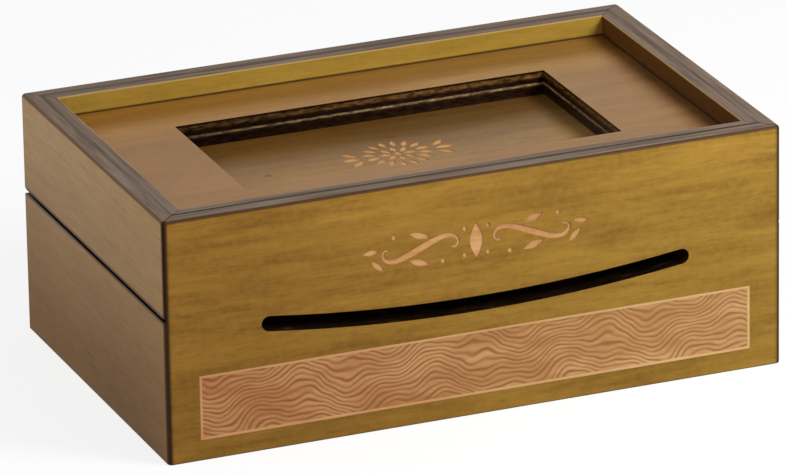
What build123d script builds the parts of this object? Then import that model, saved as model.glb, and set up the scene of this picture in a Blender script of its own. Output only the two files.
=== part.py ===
from build123d import *

import os

# A secret box of stained plywood, in millimetres. X runs along the width, Y from the
# front to the back, Z up. The origin is the centre of the flat underside.

# Outside of the closed box
box_width = 155.0
box_depth = 96.0
box_height = 60.0

# Sheet stock: each wall is an outer sheet backed by a liner
outer_sheet = 4.0
liner_sheet = 3.0
thin_sheet = 3.0

# Where the lid parts from the base, on the sides and the back
parting_height = 35.3
parting_gap = 0.8

# Rounding of the assembled box by sanding
corner_sanding = 1.2
top_sanding = 0.8
bottom_sanding = 0.4
rim_sanding = 0.4
back_rounding = 2.5

# Running gaps between the lid and the base
lid_side_gap = 0.25
lid_front_gap = 0.3
lip_gap = 0.4

# Two small butt hinges, their barrels just inside the back face
hinge_inset = 32.5
leaf_length = 16.0
leaf_thickness = 0.8
mortise_gap = 0.1
knuckle_count = 3
knuckle_radius = 1.5
knuckle_inset = 0.1
knuckle_gap = 0.2
knuckle_clearance = 0.4
hinge_pin_radius = 0.7
hinge_pin_play = 0.05

# Countersunk hinge screws, two in each leaf
screw_spacing = 9.0
screw_length = 6.0
screw_tip = 1.0
screw_head_radius = 1.4
screw_shank_radius = 0.6
screw_play = 0.05

# Sunk tray in the top of the lid, and the borders left around its picture window
rim_height = 5.0
tray_side_border = 23.0
tray_end_border = 17.5

# Picture panel, which slides forward as a bolt
picture_side_lap = 3.0
picture_end_lap = 2.5
bolt_travel = 8.0
slider_side_gap = 0.3
slider_play = 0.15
tongue_width = 24.0
tongue_end_gap = 0.3
lead_in = 0.5

# Keeper strip on the back of the front panel, over the thrown bolt
keeper_margin = 8.0
keeper_height = 4.5
keeper_play = 0.2

# Loose lock pins in the side rails of the track, and the lugs of the panel that they block
lock_pin_radius = 1.35
lock_pin_length = 9.0
lock_pin_travel = 4.6
lock_pin_gap = 0.7
lock_pin_end_gap = 0.4
lock_pin_play = 0.25
lock_pin_tip_gap = 1.1
lug_gap = 0.3

# Curved slot through the front, lowest in its middle
slot_width = 3.8
slot_end_margin = 25.6
slot_radius = 396.0
slot_middle_height = 27.8

# Shallow engraved band along the foot of the front
band_side_margin = 8.0
band_height = 16.0
band_foot = 5.0
band_recess = 0.3

# Wall faces, from the outside in
outer_x = box_width / 2
outer_y = box_depth / 2
middle_x = outer_x - outer_sheet
middle_y = outer_y - outer_sheet
inner_x = middle_x - liner_sheet
inner_y = middle_y - liner_sheet

# Heights
lid_foot = parting_height + parting_gap
tray_floor = box_height - rim_height
window_seam = tray_floor - thin_sheet
track_top = window_seam - thin_sheet
track_foot = track_top - thin_sheet
track_middle = (track_top + track_foot) / 2
cover_foot = track_foot - thin_sheet
lip_top = track_foot - lip_gap
keeper_foot = track_top + keeper_play
keeper_top = keeper_foot + keeper_height

# Window, slot and band, each set in from the walls beside it
window_half_width = inner_x - tray_side_border
window_half_depth = inner_y - tray_end_border
slot_half_span = outer_x - slot_end_margin
band_half_width = outer_x - band_side_margin

# Hinge axis, halfway up the parting gap, and the middle of each hinge along it
hinge_half_spacing = outer_x - hinge_inset
hinge_y = outer_y - knuckle_inset - knuckle_radius
hinge_z = parting_height + parting_gap / 2
knuckle_pitch = leaf_length / knuckle_count
barrel_front = hinge_y - knuckle_radius - knuckle_clearance
screw_y = (inner_y + barrel_front) / 2

# Picture panel at rest, which is unlocked
slider_half_width = window_half_width + picture_side_lap
slider_front = -window_half_depth - picture_end_lap
slider_back = window_half_depth + bolt_travel + picture_end_lap
tongue_tip = -middle_y + tongue_end_gap + bolt_travel
keeper_half_width = tongue_width / 2 + keeper_margin

# Lugs: the lock pins stand halfway along their travel, and pass on either side of them.
# A pin that is in stops lock_pin_tip_gap short of the panel.
lug_reach = lock_pin_travel - lock_pin_gap + lock_pin_tip_gap
lug_tip = slider_half_width + lug_reach
lug_length = bolt_travel - 2 * (lock_pin_radius + lug_gap)

# Lock pins at rest, which is released
lock_pin_inner_end = lug_tip + lock_pin_gap
channel_outer_end = lock_pin_inner_end + lock_pin_length + lock_pin_end_gap

# Signs of X on the two sides, and of Z into the wall from each edge at the parting line
SIDES = {"left": -1, "right": 1}
EDGES = {"base": (parting_height, -1), "lid": (lid_foot, 1)}


def crosswise_plan(outer_half, inner_half, outer, inner, height):
    """Plan of a wall sheet along X with its ends cut at 45 degrees."""
    with BuildSketch(Plane.XY.offset(height)) as plan:
        with BuildLine():
            Polyline(
                (-outer_half, outer),
                (outer_half, outer),
                (inner_half, inner),
                (-inner_half, inner),
                close=True,
            )
        make_face()
    return plan.sketch


def lengthwise_plan(outer_half, inner_half, outer, inner, height, front_gap=0.0):
    """Plan of a mitred wall sheet along Y, its front end set back by front_gap."""
    with BuildSketch(Plane.XY.offset(height)) as plan:
        with BuildLine():
            Polyline(
                (outer, -outer_half + front_gap),
                (outer, outer_half),
                (inner, inner_half),
                (inner, -inner_half + front_gap),
                close=True,
            )
        make_face()
    return plan.sketch


def sheet_plan(half_width, front, back, height):
    """Plan of a flat rectangular sheet."""
    with BuildSketch(Plane.XY.offset(height)) as plan:
        with Locations((0, (front + back) / 2)):
            Rectangle(2 * half_width, back - front)
    return plan.sketch


def window_plan(height):
    """Plan of the picture window."""
    with BuildSketch(Plane.XY.offset(height)) as plan:
        Rectangle(2 * window_half_width, 2 * window_half_depth)
    return plan.sketch


def into_wall(direction):
    """Alignment that lays a height into the wall from its edge."""
    return Align.MIN if direction > 0 else Align.MAX


def back_edge_waste(edge, direction):
    """Section of what rounding takes off a back edge at the parting line."""
    with BuildSketch(Plane.YZ) as waste:
        with Locations((outer_y, edge)):
            Rectangle(
                back_rounding,
                back_rounding,
                align=(Align.MAX, into_wall(direction)),
            )
        with Locations((outer_y - back_rounding, edge + direction * back_rounding)):
            Circle(back_rounding, mode=Mode.SUBTRACT)
    return waste.sketch


def leaf_section(place, edge, direction):
    """Section of a hinge leaf, from the inner face of the wall to the hinge axis."""
    with BuildSketch(Plane.YZ.offset(place)) as section:
        with Locations((inner_y, edge)):
            Rectangle(
                hinge_y - inner_y,
                leaf_thickness,
                align=(Align.MIN, into_wall(direction)),
            )
    return section.sketch


def round_section(place, radius):
    """A circle about the hinge axis."""
    with BuildSketch(Plane.YZ.offset(place)) as section:
        with Locations((hinge_y, hinge_z)):
            Circle(radius)
    return section.sketch


def screw_places(hinge_x):
    """X of the two screws in each leaf of one hinge."""
    return [hinge_x - screw_spacing / 2, hinge_x + screw_spacing / 2]


def screw_section(place, edge, direction, play=0.0):
    """Half section of a hinge screw, or with play of the hole that it fits."""
    head_drop = screw_head_radius - screw_shank_radius
    with BuildSketch(Plane((place, screw_y, edge), x_dir=(1, 0, 0), z_dir=(0, -1, 0))) as half:
        with BuildLine():
            Polyline(
                (0, 0),
                (screw_head_radius + play, 0),
                (screw_shank_radius + play, direction * head_drop),
                (screw_shank_radius + play, direction * (screw_length - screw_tip)),
                (0, direction * (screw_length + play)),
                close=True,
            )
        make_face()
    return half.sketch


def screw_axis(place):
    """Upright axis of one hinge screw."""
    return Axis((place, screw_y, 0), (0, 0, 1))


def curved_slot():
    """Outline of the slot on the front, an arc with round ends that sags in its middle."""
    end_rise = slot_radius - (slot_radius**2 - slot_half_span**2) ** 0.5
    with BuildSketch(Plane.XZ) as slot:
        with BuildLine():
            middle = ThreePointArc(
                (-slot_half_span, slot_middle_height + end_rise),
                (0, slot_middle_height),
                (slot_half_span, slot_middle_height + end_rise),
            )
        SlotArc(arc=middle, height=slot_width)
    return slot.sketch


os.makedirs("parts", exist_ok=True)

# The closed box's sanded outside, which trims each outer sheet
with BuildPart() as sanded_block:
    Box(box_width, box_depth, box_height, align=(Align.CENTER, Align.CENTER, Align.MIN))
    fillet(sanded_block.edges().filter_by(Axis.Z), corner_sanding)
    fillet(sanded_block.faces().sort_by(Axis.Z)[-1].edges(), top_sanding)
    fillet(sanded_block.faces().sort_by(Axis.Z)[0].edges(), bottom_sanding)

# Front of the base: a full-height panel that hides the parting line
with BuildPart() as front_panel:
    extrude(crosswise_plan(outer_x, middle_x, -outer_y, -middle_y, 0), amount=box_height)
    extrude(curved_slot(), amount=box_depth, mode=Mode.SUBTRACT)
    with BuildSketch(Plane.XZ.offset(outer_y)) as band:
        with Locations((0, band_foot)):
            Rectangle(2 * band_half_width, band_height, align=(Align.CENTER, Align.MIN))
    extrude(amount=-band_recess, mode=Mode.SUBTRACT)
    add(sanded_block.part, mode=Mode.INTERSECT)
front_panel.part.label = "front_panel"
export_step(front_panel.part, "parts/front_panel.step")

# The liner behind it, whose top stays below the bolt
with BuildPart() as front_liner:
    extrude(
        crosswise_plan(middle_x, inner_x, -middle_y, -inner_y, thin_sheet),
        amount=lip_top - thin_sheet,
    )
    extrude(curved_slot(), amount=box_depth, mode=Mode.SUBTRACT)
front_liner.part.label = "front_liner"
export_step(front_liner.part, "parts/front_liner.step")

# Keeper: a strip on the back of the front panel, just above the bolt's path
with BuildPart() as bolt_keeper:
    with BuildSketch(Plane.XZ.offset(middle_y)) as keeper_face:
        with Locations((0, keeper_foot)):
            Rectangle(
                2 * keeper_half_width,
                keeper_height,
                align=(Align.CENTER, Align.MIN),
            )
    extrude(amount=lid_front_gap - liner_sheet)
    back_edges = bolt_keeper.edges().filter_by(Axis.X).group_by(Axis.Y)[-1]
    chamfer(back_edges.sort_by(Axis.Z)[0], lead_in)
bolt_keeper.part.label = "bolt_keeper"
export_step(bolt_keeper.part, "parts/bolt_keeper.step")

# Outer sides of the base
for side, sign in SIDES.items():
    with BuildPart() as base_side_panel:
        extrude(
            lengthwise_plan(outer_y, middle_y, sign * outer_x, sign * middle_x, 0),
            amount=parting_height,
        )
        extrude(
            back_edge_waste(*EDGES["base"]),
            amount=sign * box_width,
            mode=Mode.SUBTRACT,
        )
        add(sanded_block.part, mode=Mode.INTERSECT)
    base_side_panel.part.label = f"base_{side}_panel"
    export_step(base_side_panel.part, f"parts/base_{side}_panel.step")

# Side liners of the base: past the parting line they rise as a lip inside the lid
for side, sign in SIDES.items():
    with BuildPart() as base_side_liner:
        extrude(
            lengthwise_plan(middle_y, inner_y, sign * middle_x, sign * inner_x, thin_sheet),
            amount=lip_top - thin_sheet,
        )
        with BuildSketch(Plane.YZ) as behind_lip:
            with Locations((inner_y - lip_gap, parting_height)):
                Rectangle(outer_y, box_height, align=(Align.MIN, Align.MIN))
        extrude(amount=sign * box_width, mode=Mode.SUBTRACT)
        with BuildSketch(Plane.YZ.offset(sign * middle_x)) as lip_face:
            with Locations((0, parting_height)):
                Rectangle(box_depth, box_height, align=(Align.CENTER, Align.MIN))
        extrude(amount=-sign * lid_side_gap, mode=Mode.SUBTRACT)
    base_side_liner.part.label = f"base_{side}_liner"
    export_step(base_side_liner.part, f"parts/base_{side}_liner.step")

# Back of the base, with seats for the lower hinge leaves
with BuildPart() as base_back_panel:
    extrude(crosswise_plan(outer_x, middle_x, outer_y, middle_y, 0), amount=parting_height)
    extrude(
        back_edge_waste(*EDGES["base"]),
        amount=box_width,
        both=True,
        mode=Mode.SUBTRACT,
    )
    for sign in SIDES.values():
        hinge_x = sign * hinge_half_spacing
        seat_half = leaf_length / 2 + mortise_gap
        extrude(
            leaf_section(hinge_x, *EDGES["base"]),
            amount=seat_half,
            both=True,
            mode=Mode.SUBTRACT,
        )
        extrude(
            round_section(hinge_x, knuckle_radius + knuckle_clearance),
            amount=seat_half,
            both=True,
            mode=Mode.SUBTRACT,
        )
    add(sanded_block.part, mode=Mode.INTERSECT)
base_back_panel.part.label = "base_back_panel"
export_step(base_back_panel.part, "parts/base_back_panel.step")

with BuildPart() as base_back_liner:
    extrude(
        crosswise_plan(middle_x, inner_x, middle_y, inner_y, thin_sheet),
        amount=parting_height - thin_sheet,
    )
    for sign in SIDES.values():
        hinge_x = sign * hinge_half_spacing
        extrude(
            leaf_section(hinge_x, *EDGES["base"]),
            amount=leaf_length / 2 + mortise_gap,
            both=True,
            mode=Mode.SUBTRACT,
        )
        for place in screw_places(hinge_x):
            revolve(
                screw_section(place, *EDGES["base"], play=screw_play),
                axis=screw_axis(place),
                mode=Mode.SUBTRACT,
            )
base_back_liner.part.label = "base_back_liner"
export_step(base_back_liner.part, "parts/base_back_liner.step")

# Floor, inside the outer panels and under the liners
with BuildPart() as floor_panel:
    extrude(sheet_plan(middle_x, -middle_y, middle_y, 0), amount=thin_sheet)
floor_panel.part.label = "floor_panel"
export_step(floor_panel.part, "parts/floor_panel.step")

# Outer sides of the lid
for side, sign in SIDES.items():
    with BuildPart() as lid_side_panel:
        extrude(
            lengthwise_plan(
                outer_y,
                middle_y,
                sign * outer_x,
                sign * middle_x,
                lid_foot,
                front_gap=lid_front_gap,
            ),
            amount=box_height - lid_foot,
        )
        extrude(
            back_edge_waste(*EDGES["lid"]),
            amount=sign * box_width,
            mode=Mode.SUBTRACT,
        )
        add(sanded_block.part, mode=Mode.INTERSECT)
    lid_side_panel.part.label = f"lid_{side}_panel"
    export_step(lid_side_panel.part, f"parts/lid_{side}_panel.step")

# Side liners of the lid, just above the lip of the base
for side, sign in SIDES.items():
    with BuildPart() as lid_side_liner:
        extrude(
            lengthwise_plan(middle_y, inner_y, sign * middle_x, sign * inner_x, track_foot),
            amount=box_height - track_foot,
        )
        with BuildSketch(Plane.XY.offset(track_foot)) as front_clearance:
            with Locations((0, -middle_y)):
                Rectangle(box_width, lid_front_gap, align=(Align.CENTER, Align.MIN))
        extrude(amount=box_height, mode=Mode.SUBTRACT)
        top_edges = lid_side_liner.faces().sort_by(Axis.Z)[-1].edges().filter_by(Axis.Y)
        fillet(top_edges.sort_by(Axis.X)[-1 if sign < 0 else 0], rim_sanding)
    lid_side_liner.part.label = f"lid_{side}_liner"
    export_step(lid_side_liner.part, f"parts/lid_{side}_liner.step")

# Back of the lid, with seats for the upper hinge leaves
with BuildPart() as lid_back_panel:
    extrude(
        crosswise_plan(outer_x, middle_x, outer_y, middle_y, lid_foot),
        amount=box_height - lid_foot,
    )
    extrude(
        back_edge_waste(*EDGES["lid"]),
        amount=box_width,
        both=True,
        mode=Mode.SUBTRACT,
    )
    for sign in SIDES.values():
        hinge_x = sign * hinge_half_spacing
        seat_half = leaf_length / 2 + mortise_gap
        extrude(
            leaf_section(hinge_x, *EDGES["lid"]),
            amount=seat_half,
            both=True,
            mode=Mode.SUBTRACT,
        )
        extrude(
            round_section(hinge_x, knuckle_radius + knuckle_clearance),
            amount=seat_half,
            both=True,
            mode=Mode.SUBTRACT,
        )
    add(sanded_block.part, mode=Mode.INTERSECT)
lid_back_panel.part.label = "lid_back_panel"
export_step(lid_back_panel.part, "parts/lid_back_panel.step")

with BuildPart() as lid_back_liner:
    extrude(
        crosswise_plan(middle_x, inner_x, middle_y, inner_y, lid_foot),
        amount=box_height - lid_foot,
    )
    for sign in SIDES.values():
        hinge_x = sign * hinge_half_spacing
        extrude(
            leaf_section(hinge_x, *EDGES["lid"]),
            amount=leaf_length / 2 + mortise_gap,
            both=True,
            mode=Mode.SUBTRACT,
        )
        for place in screw_places(hinge_x):
            revolve(
                screw_section(place, *EDGES["lid"], play=screw_play),
                axis=screw_axis(place),
                mode=Mode.SUBTRACT,
            )
    top_edges = lid_back_liner.faces().sort_by(Axis.Z)[-1].edges().filter_by(Axis.X)
    fillet(top_edges.sort_by(Axis.Y)[0], rim_sanding)
lid_back_liner.part.label = "lid_back_liner"
export_step(lid_back_liner.part, "parts/lid_back_liner.step")

# Front liner of the lid, which clears the front panel and the keeper
with BuildPart() as lid_front_liner:
    extrude(
        crosswise_plan(
            middle_x - lid_front_gap,
            inner_x,
            -middle_y + lid_front_gap,
            -inner_y,
            track_foot,
        ),
        amount=box_height - track_foot,
    )
    with BuildSketch(Plane.XZ) as keeper_room:
        with Locations((0, track_foot)):
            Rectangle(
                2 * (keeper_half_width + lip_gap),
                keeper_top - track_foot + lip_gap,
                align=(Align.CENTER, Align.MIN),
            )
    extrude(amount=box_depth, mode=Mode.SUBTRACT)
    top_edges = lid_front_liner.faces().sort_by(Axis.Z)[-1].edges().filter_by(Axis.X)
    fillet(top_edges.sort_by(Axis.Y)[-1], rim_sanding)
lid_front_liner.part.label = "lid_front_liner"
export_step(lid_front_liner.part, "parts/lid_front_liner.step")

# Two window sheets, which form the tray's floor and the window's edges
with BuildPart() as window_top_sheet:
    extrude(sheet_plan(inner_x, -inner_y, inner_y, window_seam), amount=thin_sheet)
    extrude(window_plan(window_seam), amount=thin_sheet, mode=Mode.SUBTRACT)
window_top_sheet.part.label = "window_top_sheet"
export_step(window_top_sheet.part, "parts/window_top_sheet.step")

with BuildPart() as window_lower_sheet:
    extrude(sheet_plan(inner_x, -inner_y, inner_y, track_top), amount=thin_sheet)
    extrude(window_plan(track_top), amount=thin_sheet, mode=Mode.SUBTRACT)
window_lower_sheet.part.label = "window_lower_sheet"
export_step(window_lower_sheet.part, "parts/window_lower_sheet.step")

# Track: the well that the picture panel slides in, with room at its sides for the lugs,
# and the lock pins' channels
with BuildPart() as slider_track:
    extrude(sheet_plan(inner_x, -inner_y, inner_y, track_foot), amount=thin_sheet)
    with BuildSketch(Plane.XY.offset(track_foot)) as well:
        with Locations((0, (slider_front - bolt_travel + slider_back) / 2)):
            Rectangle(
                2 * (slider_half_width + slider_side_gap),
                slider_back - slider_front + bolt_travel + 2 * slider_side_gap,
            )
        with Locations((0, slider_front)):
            Rectangle(
                tongue_width + 2 * slider_side_gap,
                inner_y + slider_front,
                align=(Align.CENTER, Align.MAX),
            )
        Rectangle(
            2 * (lug_tip + slider_side_gap),
            bolt_travel + lug_length + 2 * slider_side_gap,
        )
        Rectangle(2 * channel_outer_end, 2 * (lock_pin_radius + lock_pin_play))
    extrude(amount=thin_sheet, mode=Mode.SUBTRACT)
slider_track.part.label = "slider_track"
export_step(slider_track.part, "parts/slider_track.step")

# Cover under the track, which drops inside the lip of the base
with BuildPart() as lid_cover:
    extrude(
        sheet_plan(inner_x - lid_front_gap, -inner_y + lid_front_gap, inner_y, cover_foot),
        amount=thin_sheet,
    )
lid_cover.part.label = "lid_cover"
export_step(lid_cover.part, "parts/lid_cover.step")

# Picture panel with its bolt tongue
with BuildPart() as picture_panel:
    with BuildSketch(Plane.XY.offset(track_foot + slider_play)) as picture_plan:
        with Locations((0, (slider_front + slider_back) / 2)):
            Rectangle(2 * slider_half_width, slider_back - slider_front)
        with Locations((0, slider_front)):
            Rectangle(
                tongue_width,
                slider_front - tongue_tip,
                align=(Align.CENTER, Align.MAX),
            )
    extrude(amount=thin_sheet - 2 * slider_play)
    chamfer(picture_panel.edges().filter_by(Axis.X).group_by(Axis.Y)[0], lead_in)
picture_panel.part.label = "picture_panel"
export_step(picture_panel.part, "parts/picture_panel.step")

# Lugs on the side edges of the panel, of hardwood because plywood this narrow would split
for side, sign in SIDES.items():
    with BuildPart() as lock_lug:
        with BuildSketch(Plane.XY.offset(track_foot + slider_play)) as lug_plan:
            with Locations((sign * (slider_half_width + lug_reach / 2), bolt_travel / 2)):
                Rectangle(lug_reach, lug_length)
        extrude(amount=thin_sheet - 2 * slider_play)
    lock_lug.part.label = f"{side}_lock_lug"
    export_step(lock_lug.part, f"parts/{side}_lock_lug.step")

# Loose steel pins that block the panel when they stand before or behind its lugs
for side, sign in SIDES.items():
    with BuildPart() as lock_pin:
        with BuildSketch(Plane.YZ.offset(sign * lock_pin_inner_end)):
            with Locations((0, track_middle)):
                Circle(lock_pin_radius)
        extrude(amount=sign * lock_pin_length)
    lock_pin.part.label = f"{side}_lock_pin"
    export_step(lock_pin.part, f"parts/{side}_lock_pin.step")

# Hinge leaves: the base carries the odd knuckles and the lid the even ones
for owner, (edge, direction) in EDGES.items():
    own_knuckles = range(0 if owner == "base" else 1, knuckle_count, 2)
    for side, sign in SIDES.items():
        hinge_x = sign * hinge_half_spacing
        first_knuckle = hinge_x - leaf_length / 2 + knuckle_pitch / 2
        with BuildPart() as leaf:
            extrude(
                leaf_section(hinge_x, edge, direction),
                amount=(leaf_length - knuckle_gap) / 2,
                both=True,
            )
            for number in range(knuckle_count):
                place = first_knuckle + number * knuckle_pitch
                if number in own_knuckles:
                    extrude(
                        round_section(place, knuckle_radius),
                        amount=(knuckle_pitch - knuckle_gap) / 2,
                        both=True,
                    )
                else:
                    extrude(
                        round_section(place, knuckle_radius + knuckle_clearance),
                        amount=(knuckle_pitch + knuckle_gap) / 2,
                        both=True,
                        mode=Mode.SUBTRACT,
                    )
            extrude(
                round_section(hinge_x, hinge_pin_radius + hinge_pin_play),
                amount=leaf_length,
                both=True,
                mode=Mode.SUBTRACT,
            )
            for place in screw_places(hinge_x):
                revolve(
                    screw_section(place, edge, direction, play=screw_play),
                    axis=screw_axis(place),
                    mode=Mode.SUBTRACT,
                )
        leaf.part.label = f"{side}_{owner}_leaf"
        export_step(leaf.part, f"parts/{side}_{owner}_leaf.step")

# Hinge pins
for side, sign in SIDES.items():
    with BuildPart() as hinge_pin:
        extrude(
            round_section(sign * hinge_half_spacing, hinge_pin_radius),
            amount=(leaf_length - knuckle_gap) / 2,
            both=True,
        )
    hinge_pin.part.label = f"{side}_hinge_pin"
    export_step(hinge_pin.part, f"parts/{side}_hinge_pin.step")

# Hinge screws, four in the base and four in the lid
for owner, (edge, direction) in EDGES.items():
    with BuildPart() as hinge_screws:
        for sign in SIDES.values():
            for place in screw_places(sign * hinge_half_spacing):
                revolve(screw_section(place, edge, direction), axis=screw_axis(place))
    hinge_screws.part.label = f"{owner}_hinge_screws"
    export_step(hinge_screws.part, f"parts/{owner}_hinge_screws.step")
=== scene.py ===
import math

import bmesh
import bpy
from mathutils import Matrix, Vector


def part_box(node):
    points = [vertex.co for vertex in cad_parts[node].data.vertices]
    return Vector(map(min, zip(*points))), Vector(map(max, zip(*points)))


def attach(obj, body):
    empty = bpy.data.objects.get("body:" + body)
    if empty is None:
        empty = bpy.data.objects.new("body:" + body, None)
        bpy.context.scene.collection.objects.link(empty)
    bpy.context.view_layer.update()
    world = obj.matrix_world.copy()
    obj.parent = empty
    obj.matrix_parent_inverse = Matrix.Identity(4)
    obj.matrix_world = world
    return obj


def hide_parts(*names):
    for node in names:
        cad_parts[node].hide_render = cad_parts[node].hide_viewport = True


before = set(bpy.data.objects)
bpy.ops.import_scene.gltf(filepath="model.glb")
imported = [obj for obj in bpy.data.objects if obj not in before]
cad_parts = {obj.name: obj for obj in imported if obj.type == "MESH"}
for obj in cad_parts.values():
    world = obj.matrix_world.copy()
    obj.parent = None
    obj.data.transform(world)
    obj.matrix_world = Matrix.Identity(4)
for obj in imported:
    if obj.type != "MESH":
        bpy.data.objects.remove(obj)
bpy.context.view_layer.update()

# The looks of the secret box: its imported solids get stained, charred and sanded wood, brass and
# steel, four of them are carved, and the strip at the foot of the front gets its waves

# A millimetre in the scene's metres
MM = 0.001

# Camera: the photograph's view of the box, fitted to seven of its corners
IMAGE_WIDTH = 787
FOCAL_PIXELS = 8048.3
SENSOR_WIDTH = 36.0
VIEW_AZIMUTH = math.radians(-21.753)
VIEW_ELEVATION = math.radians(20.897)
VIEW_ROLL = math.radians(-1.005)
VIEW_DISTANCE = 1923.5 * MM
VIEW_REACH = 100.0
AIM_RIGHT = -1.955 * MM
AIM_UP = 25.818 * MM

# The stage: a pale floor, a white surround and two plain soft lamps
FLOOR_SIZE = 6.0
FLOOR_COLOUR = (0.8, 0.8, 0.8, 1)
FLOOR_ROUGHNESS = 0.9
FLOOR_GLOSS = 0.1
FLOOR_GLOW = 0.78
FLOOR_GLOW_LEVEL = 1.06
SURROUND_LIGHT = 0.4
WHITE = (1, 1, 1, 1)
LAMPS = {
    "key": {"place": (0.32, -0.38, 0.4), "size": 0.24, "power": 3.35},
    "fill": {"place": (-1.3, -0.5, 1.5), "size": 1.0, "power": 5.0},
}

# Places on the box, all from the frame
FRONT_LOW, FRONT_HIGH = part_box("front_panel")
SIDE_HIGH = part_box("base_right_panel")[1]
LINER_LOW, LINER_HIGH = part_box("lid_right_liner")
LID_SIDE_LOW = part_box("lid_right_panel")[0]
PICTURE_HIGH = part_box("picture_panel")[1]
TRAY_LOW, TRAY_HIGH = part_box("window_top_sheet")
LOWER_LOW, LOWER_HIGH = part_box("window_lower_sheet")
FRONT_Y = FRONT_LOW.y
RIM_Z = FRONT_HIGH.z
SIDE_X = SIDE_HIGH.x
SHEET = FRONT_HIGH.y - FRONT_LOW.y
LINER = LINER_HIGH.x - LINER_LOW.x
PARTING_Z = (SIDE_HIGH.z + LID_SIDE_LOW.z) / 2

# Engraving: a strip of waves at the foot, a scroll over the slot and a rosette in the window
BAND_MARGIN = 8 * MM
BAND_FOOT = 5 * MM
BAND_HEIGHT = 16 * MM
BAND_RECESS = 0.3 * MM
BAND_BORDER = 0.8 * MM
BAND_STEP = 0.2 * MM
BAND_BORDER_DEPTH = 0.04 * MM
BAND_RIDGE_DEPTH = 0.1 * MM
BAND_GROOVE_DEPTH = 0.27 * MM
SCROLL_CENTRE = 43.6 * MM
SCROLL_DEPTH = 0.25 * MM
ROSETTE_DEPTH = 0.2 * MM
CUTTER_CLEARANCE = 0.5 * MM

# The share of its width that a stroke of the scroll keeps at its tips
SCROLL_TIP = 0.3

# The strip's grooves: their spacing, and the waves that bend them. Lengths are in millimetres,
# swings in spacings, and the drift, which moves the sway along, swings in radians.
GROOVE_SPACING = 1.3
DRIFT = {"swing": 0.55, "length": 21}
SWAY = {"swing": 1.7, "length": 37}
RIPPLE = {"swing": 0.9, "length": 15.5, "start": 1.1, "lean": 0.21}
WAVER = {"swing": 0.14, "length": 6.1, "start": 2.3, "lean": -0.6}

# How sharp the grooves are, the share of their depth that varies, and how it varies, in radians
# a millimetre along the strip and radians a groove across it
GROOVE_SHARPNESS = 1.6
GROOVE_UNEVENNESS = 0.2
UNEVEN_ALONG, UNEVEN_ACROSS = 0.43, 2.4

# Hinge screws: a straight driver slot in each head, each one turned further, in radians
SCREW_PITCH = 9 * MM
SCREW_RADIUS = 1.4 * MM
DRIVER_SLOT_WIDTH = 0.5 * MM
DRIVER_SLOT_DEPTH = 0.4 * MM
FIRST_SLOT_TURN = 0.5
SLOT_TURN_STEP = 1.1

# Carved meshes: points this close are one, bends over this angle are sharp edges, and a face
# whose normal lies this nearly along an axis is flat
WELD_DISTANCE = 0.001 * MM
SMOOTH_ANGLE = math.radians(30)
FLAT_SHARE = 0.99999


def srgb(red, green, blue):
    """A colour given as screen values from 0 to 255, as linear values with full alpha."""
    def linear(value):
        share = value / 255
        return share / 12.92 if share <= 0.04045 else ((share + 0.055) / 1.055) ** 2.4
    return (linear(red), linear(green), linear(blue), 1.0)


def grey(value):
    return (value, value, value, 1.0)


# The dark, middle and light tones of each kind of wood
GOLD_TONES = srgb(106, 74, 26), srgb(143, 108, 41), srgb(164, 127, 52)
LINER_TONES = srgb(138, 108, 42), srgb(162, 130, 51), srgb(178, 146, 64)
SIDE_TONES = srgb(132, 100, 56), srgb(149, 115, 68), srgb(160, 126, 78)
# The side liners' tones are darkened as painted shade, for inner faces that the lamp leaves in shadow
SHADED_LINER_TONES = srgb(82, 50, 18), srgb(102, 65, 27), srgb(116, 78, 34)
TRAY_TONES = srgb(122, 84, 40), srgb(141, 102, 52), srgb(155, 116, 64)
PICTURE_TONES = srgb(110, 80, 40), srgb(136, 102, 56), srgb(150, 116, 68)
RAW_TONES = srgb(168, 132, 88), srgb(196, 160, 114), srgb(212, 180, 136)
BEECH_TONES = srgb(172, 128, 88), srgb(202, 160, 118), srgb(216, 178, 140)
ENGRAVED_TONES = srgb(166, 114, 66), srgb(187, 138, 86), srgb(200, 156, 104)
# The rims' grey is partly a painted sheen of the surround on the sanded edges
RIM_TONES_WITH_SHEEN = srgb(76, 58, 46), srgb(111, 92, 75), srgb(130, 113, 97)
BURNT_TONES = srgb(11, 7, 3), srgb(29, 17, 8), srgb(64, 42, 22)

# Single tones: dark lines, the edges of the sheets, the knot and the engraved strip. The dark line tone
# also paints shade beside the gap and in the creases, and the liners' pale inner top edge is wear with
# a painted highlight.
RIM_LINE = srgb(52, 32, 16)
SIDE_EDGE = srgb(104, 80, 54)
WORN_EDGE_AND_HIGHLIGHT = srgb(172, 140, 84)
KNOT = srgb(96, 66, 4)
GROOVE_DARK, FIELD_DARK, FIELD_LIGHT = srgb(140, 89, 48), srgb(164, 113, 66), srgb(188, 141, 94)
BORDER_LIGHT = srgb(208, 162, 112)

# Metals, each with its tarnish
BRASS, BRASS_TARNISH = srgb(206, 178, 120), srgb(164, 134, 82)
SLOT_BRASS, SLOT_TARNISH = srgb(96, 76, 46), srgb(64, 48, 28)
STEEL, STEEL_TARNISH = srgb(190, 190, 192), srgb(150, 150, 154)
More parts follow.
